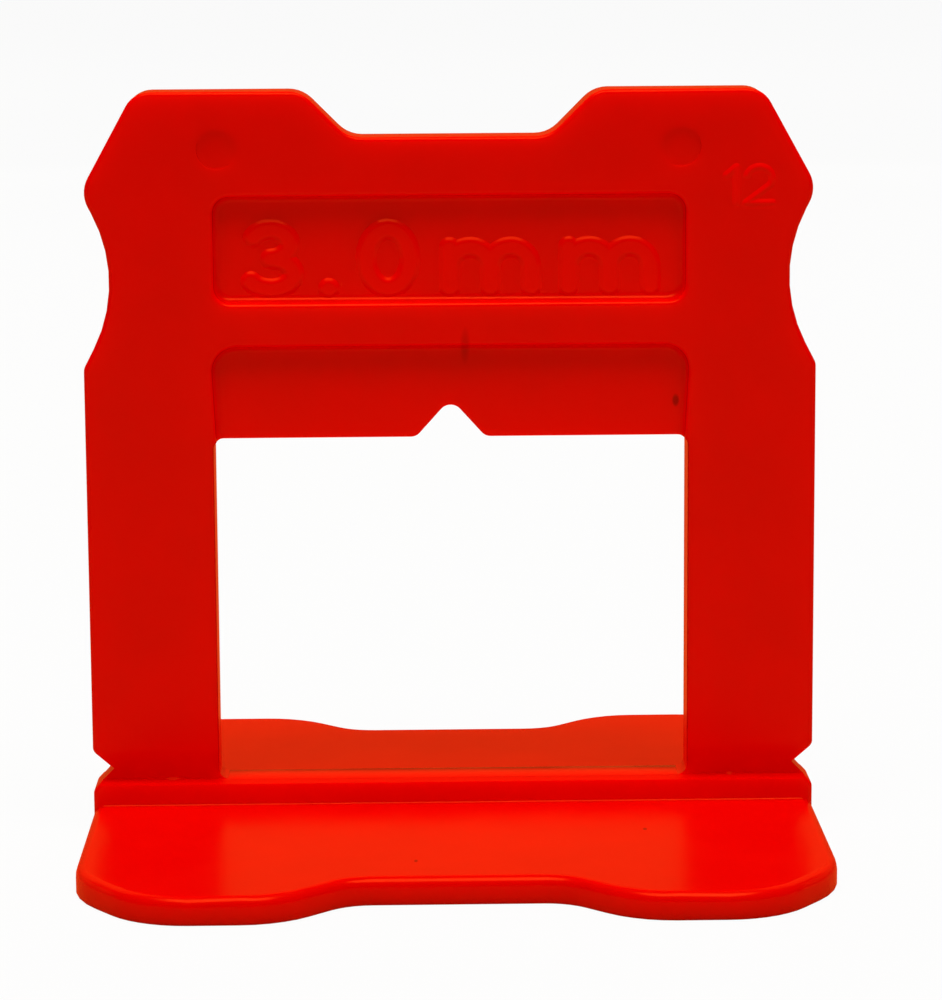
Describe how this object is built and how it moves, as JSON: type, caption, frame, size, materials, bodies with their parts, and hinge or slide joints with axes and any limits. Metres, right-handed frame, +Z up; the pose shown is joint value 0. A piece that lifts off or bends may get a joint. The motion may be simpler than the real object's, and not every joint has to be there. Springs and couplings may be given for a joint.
{
  "type": "tile levelling clip",
  "caption": "Moulded plastic clip with a base plate, an upright web with a wedge window and a breakaway neck, used with a wedge to set tiles level.",
  "frame": {"origin": "centre of the base plate's underside, below the middle of the web", "axes": "+X along the tile joint, +Y across the joint towards the rear, +Z up from the base plate to the shoulders; the face with the ejector marks looks along -Y"},
  "size_m": [0.04, 0.0406, 0.041],
  "materials": {
    "red_polypropylene": "moulded, semi-gloss"
  },
  "bodies": {
    "root": {"levelling_clip": "red_polypropylene"}
  },
  "joints": []
}
